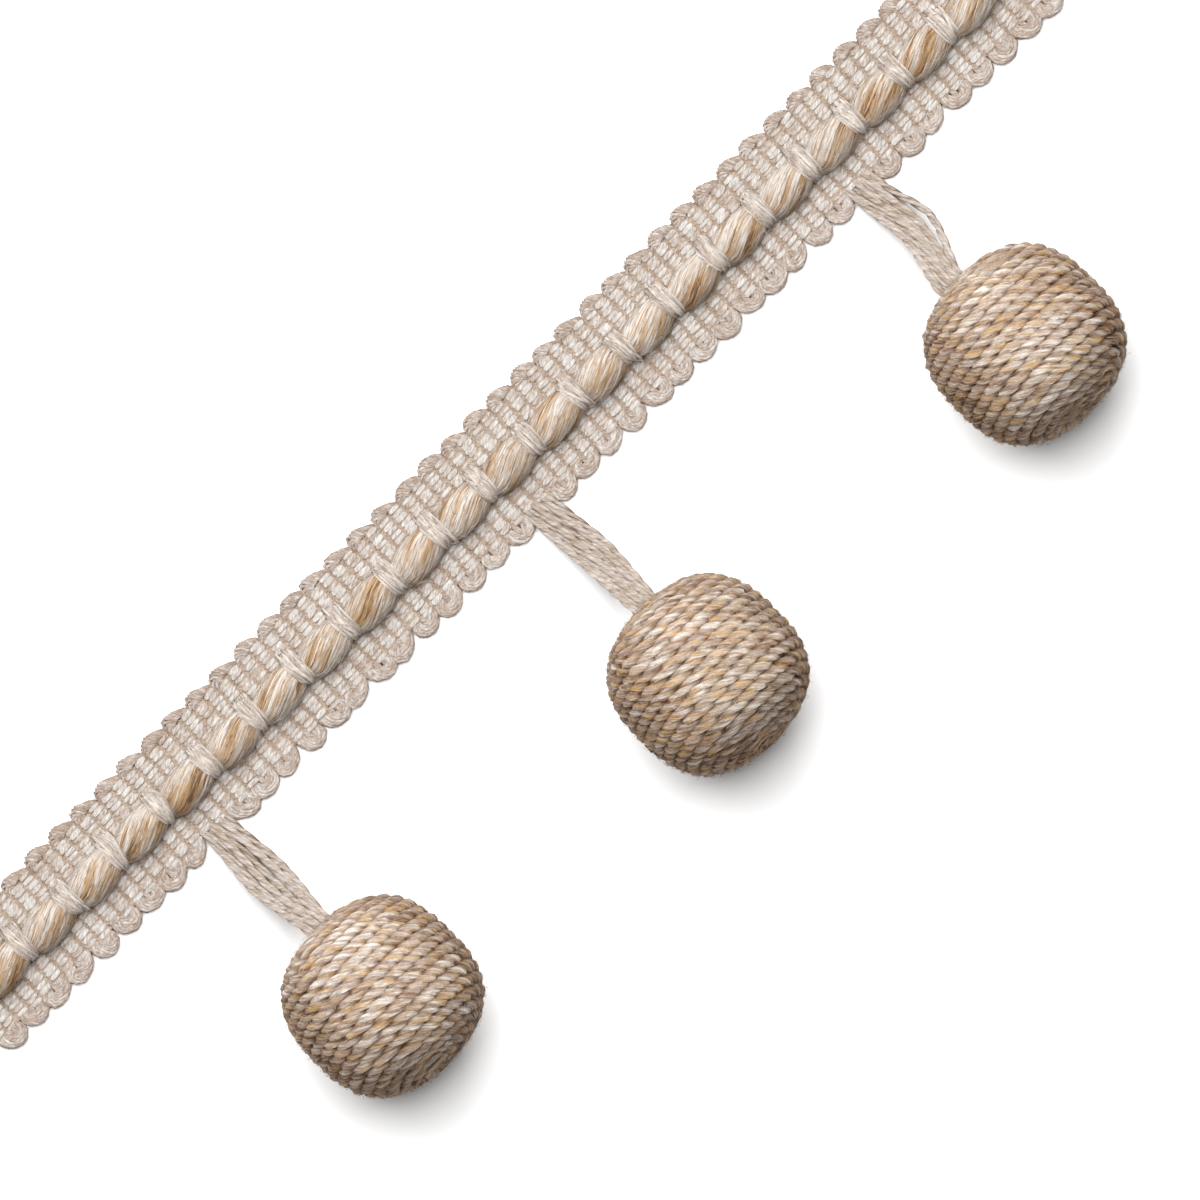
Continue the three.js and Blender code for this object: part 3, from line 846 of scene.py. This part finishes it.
# Sideways places of the six cords at the tape, half way and at the ball, in mm from the hanger's
# middle line, and how far that line stands to the side half way and at the ball.
AT_TAPE = (-2.3, -1.4, -0.5, 0.45, 1.35, 2.3)
BUNDLES = [
    dict(half=(-3.4, -2.4, -1.1, 0.2, 1.8, 3.0), ball=(-2.0, -1.2, -0.4, 0.4, 1.2, 2.0),
         bow=0.3, end=0.6),
    dict(half=(-2.6, -1.6, -0.6, 0.5, 1.6, 2.6), ball=(-2.0, -1.2, -0.4, 0.4, 1.2, 2.0),
         bow=0.9, end=0.8),
    dict(half=(-2.9, -2.0, -1.1, -0.2, 0.8, 3.0), ball=(-2.6, -1.3, -0.6, 0.1, 0.9, 1.9),
         bow=1.4, end=-1.0),
]
THIRD_HIGH = 1.9            # a hanger's height a third of the way to its middle, and there
HALF_HIGH = 5.6

# Smooth three-ply cotton cord: pale, a little shinier than the tape, with the twist's lines.
cord_cotton = spun_fibre(
    "three_ply_cotton_cord", [(0.0, "917c65"), (0.35, "a19488"), (0.7, "b3a8a0"), (1.0, "beb7b2")],
    patch=(6.0, 0.5), streak=(4.0, 0.2), bump=0.6, roughness=0.8, depth=0.42, hollow="998574")


def ball_middle(number):
    """A ball's centre in mm: its solid's box, less the flat spot that it rests on."""
    low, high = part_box(f"ball_{number}")
    centre = (low.x + high.x) / 2, (low.y + high.y) / 2, (high.z - BALL_FLAT * MM) / 2
    return np.array(centre) / MM


for number, bundle in enumerate(BUNDLES, 1):
    middle = ball_middle(number)
    pole = middle - AXIS * BALL_LONG
    start_y = TAPE_Y - TAPE_WIDE / 2
    cords = []
    for k in range(6):
        lift = 0.32 * (-1) ** k     # the cords lie high and low in turn
        in_tape = np.array([middle[0] + AT_TAPE[k], start_y + 1.0, TAPE_Z + 0.2 * (-1) ** k])
        at_edge = np.array([middle[0] + AT_TAPE[k] * 1.02, start_y - 1.6, 1.0 + lift])
        at_ball = pole + (bundle["end"] + bundle["ball"][k], 0.0, lift)
        half_way = (at_edge + at_ball) / 2
        half_way[0] = middle[0] + bundle["bow"] + bundle["half"][k]
        half_way[2] = HALF_HIGH + lift
        third = (at_edge * 2 + half_way) / 3 * (1, 1, 0) + (0, 0, THIRD_HIGH)
        last = [half_way, at_ball - AXIS * 2.2, at_ball, at_ball + AXIS * 2.0]
        line = even([in_tape, at_edge, third + (0, 0, lift), *last], 0.4)
        line[:, 2] = np.maximum(line[:, 2], 0.64)
        along = lengths(line)
        turns = -(along / CORD_TURN) + wander(along, 14.0, 0.06)
        thick = CORD_PLY * (1 + wander(along, 9.0, 0.06))
        for ply in plied(line, (0.0, 0.0, 1.0), 3, CORD_PLY * 0.52, turns, dice.random()):
            cords.append(dict(line=ply, thick=thick, tone=0.5 + dice.uniform(-0.15, 0.15),
                              fibre=0.4))
    climb = even([in_tape, at_edge, third, *last], 0.4)

    def bundle_skin(points):
        """How far points lie below the bundle's upper side, which follows its climb."""
        return np.interp(-points[:, 1], -climb[:, 1], climb[:, 2]) + 0.9 - points[:, 2]

    hanger = spun(f"hanger_cords_{number}", cords, bundle_skin, hollow=(0.4, 1.2), soften=0.6)
    dress(hanger, cord_cotton, "hanger", f"hanger_{number}")

# ---- balls --------------------------------------------------------------------------------------
# Thick three-ply yarn wound turn beside turn, from the hanger's side to the far pole, into a short
# rounded drum. The plies are heathered: pale, ochre and dusty pink fibres are spun together. The
# yarn is painted paler on the hanger's side (painted light) and browner low down, away from the
# middle (painted shade).

YARN = 2.08                 # turn to turn
PLY_THICK = 1.66
PLY_OUT = 0.50              # a ply's middle from the yarn's: neighbouring turns nest
YARN_FLAT = 1.18            # how much wider the yarn lies than it stands high
PLY_STEP = 2.5              # from one ply to the next along the yarn
TURN_STEP = 0.68            # between points
FAR_SIDE = 0.965            # the winding is pressed flatter there than at the hanger
UNDER_DEEP = 0.35           # the turns underneath, below the plies' middles
PLY_TONES = (0.57, 0.62, 0.67)

ball_wool = spun_fibre(
    "heathered_three_ply_yarn",
    [(0.0, "634c3c"), (0.18, "856c5b"), (0.34, "9b8473"), (0.5, "ab9687"), (0.66, "b7a99d"),
     (0.84, "c7bcb2"), (1.0, "d8d1c9")],
    patch=(5.0, 0.7), streak=(3.0, 0.3), bump=0.9, depth=0.42, hollow="8a725d",
    flecks=("bd9964", (4.2, 0.85), 0.5, 0.7))
# The turns underneath are the same yarn, painted dark brown as the shade between the plies.
shade_painted_under_wool = spun_fibre(
    "turns_underneath_painted_dark_as_shade", [(0.0, "5c4a3b"), (1.0, "77634f")],
    patch=(3.0, 1.0), streak=(1.0, 0.3), bump=0.4)


def zones(points):
    """Broad uneven patches over a ball, from about -1 to 1."""
    out = np.zeros(len(points))
    for wave in (34.0, 26.0, 19.0, 13.0):
        way = dice.normal(0, 1, 3)
        way /= np.linalg.norm(way)
        out += np.sin(points @ way * 2 * np.pi / wave + dice.uniform(0, 6.3))
    return out / 2.2


def drum(inset, count):
    """The half outline of a ball that far inside its skin: distances from the axis and along it."""
    angle = np.linspace(-np.pi / 2, np.pi / 2, count)
    power = 2 / BALL_SQUARE
    out = (BALL_WIDE + 0.1 - inset) * np.abs(np.cos(angle)) ** power
    along = (BALL_LONG + 0.1 - inset) * np.sign(np.sin(angle)) * np.abs(np.sin(angle)) ** power
    return out, np.where(along > 0, along * FAR_SIDE, along)


def drum_depth(points):
    """How far points, from a ball's centre, lie below its skin."""
    along = points @ AXIS
    out = np.linalg.norm(points - along[:, None] * AXIS, axis=1)
    long = BALL_LONG * np.where(along > 0, FAR_SIDE, 1.0) + 0.1
    share = (out / (BALL_WIDE + 0.1)) ** BALL_SQUARE + (np.abs(along) / long) ** BALL_SQUARE
    return (1 - share ** (1 / BALL_SQUARE)) * BALL_WIDE


def wound_line(middle):
    """The yarn's centre line round a ball, with its outward directions and its plies' turns."""
    # The outline and the yarn are stepped finely first, to measure lengths along them.
    out, along = drum(PLY_OUT + PLY_THICK / 2 - 0.05, 4001)
    run = np.concatenate(([0.0], np.cumsum(np.hypot(np.diff(out), np.diff(along)))))
    way = np.linspace(0.8, run[-1] - 0.5, 60001)    # it starts and ends a little off the poles
    angle = 2 * np.pi * way / YARN
    placed = way + wander(angle, 2.6, 0.13) + wander(angle, 9.0, 0.12)
    r, a = np.interp(placed, run, out), np.interp(placed, run, along)
    reach = np.concatenate(([0.0], np.cumsum(np.hypot(np.diff(angle) * r[1:], np.diff(way)))))
    # Whole numbers of plies a turn keep neighbouring turns in step, so that their plies nest.
    plies = np.maximum(3, np.round(2 * np.pi * r / PLY_STEP))
    turns = np.cumsum(np.gradient(angle) / (2 * np.pi) * plies / 3)
    # They still drift a little out of step and back.
    turns = turns + 0.14 * np.sin(2 * angle + middle[0]) + 0.09 * np.sin(5 * angle)
    wanted = np.linspace(0, reach[-1], int(reach[-1] / TURN_STEP))
    angle, r, a, turns = (np.interp(wanted, reach, value) for value in (angle, r, a, turns))
    across = np.array([1.0, 0.0, 0.0])
    upward = np.cross(AXIS, across)
    radial = np.cos(angle)[:, None] * across + np.sin(angle)[:, None] * upward
    slope_r, slope_a = np.gradient(out, run), np.gradient(along, run)
    placed = np.interp(wanted, reach, placed)
    normal = (radial * np.interp(placed, run, slope_a)[:, None]
              - AXIS * np.interp(placed, run, slope_r)[:, None])
    lift = wander(wanted, 21.0, 0.07) + wander(wanted, 7.0, 0.05)
    line = middle + radial * r[:, None] + AXIS * a[:, None] + normal * lift[:, None]
    return line, normal, turns


for number in (1, 2, 3):
    middle = ball_middle(number)
    line, normal, turns = wound_line(middle)
    along = lengths(line)
    spread = PLY_OUT * (1 + wander(along, 25.0, 0.1))
    zone = zones(line)
    plies = []
    for k, ply in enumerate(plied(line, normal, 3, spread, turns, flat=YARN_FLAT)):
        thick = PLY_THICK * (1 + wander(along, 9.0, 0.13) + dice.normal(0, 0.04, len(ply)))
        ply += dice.normal(0, 0.03, ply.shape)
        ply[:, 2] = np.maximum(ply[:, 2], thick / 2 + 0.01)
        place = (ply - middle) / BALL_WIDE
        # Painted shade low down round the sides and towards the far pole, and painted light on the
        # hanger's side.
        painted_low_shade = (np.clip((0.92 - place[:, 2]) / 0.5, 0, 1)
                   * np.clip(np.hypot(place[:, 0], np.minimum(place[:, 1], 0)) / 0.5, 0, 1))
        painted_hanger_side_light = np.clip((place[:, 1] - 0.2) / 0.4, 0, 1)
        tone = (PLY_TONES[k] + wander(along, 22.0, 0.1) + 0.08 * zone
                - 0.24 * painted_low_shade + 0.1 * painted_hanger_side_light)
        plies.append(dict(line=ply, thick=thick, tone=tone, fibre=-0.08))

    def ball_skin(points):
        """How far points lie below the ball's skin."""
        return drum_depth(points - middle)

    yarn = spun(f"ball_yarn_{number}", plies, ball_skin, hollow=(0.12, 0.9), soften=0.88)
    dress(yarn, ball_wool, "ball", f"ball_{number}")
    fuzz = loose_fibres(f"ball_fuzz_{number}", plies, lambda points: points - middle,
                        count=6000, long=1.5, lift=0.1)
    dress(fuzz, ball_wool, "ball")

    out, along = drum(PLY_OUT + PLY_THICK / 2 + UNDER_DEEP, 17)
    shape = bmesh.new()
    for r, a in zip(out, along):
        shape.verts.new((r * MM if 0.001 < r else 0.0, 0.0, a * MM))
    shape.verts.ensure_lookup_table()
    for a, b in zip(shape.verts[:-1], shape.verts[1:]):
        shape.edges.new((a, b))
    bmesh.ops.spin(shape, geom=shape.verts[:] + shape.edges[:], cent=(0, 0, 0), axis=(0, 0, 1),
                   angle=2 * math.pi, steps=40, use_merge=True)
    bmesh.ops.remove_doubles(shape, verts=shape.verts[:], dist=1e-6)
    bmesh.ops.recalc_face_normals(shape, faces=shape.faces[:])
    turn = Vector((0, 0, 1)).rotation_difference(Vector(AXIS)).to_matrix().to_4x4()
    bmesh.ops.transform(shape, matrix=Matrix.Translation(Vector(middle) * MM) @ turn,
                        verts=shape.verts[:])
    under = plain_body(f"ball_under_{number}", shape, 0.5)
    dress(under, shade_painted_under_wool, "ball")
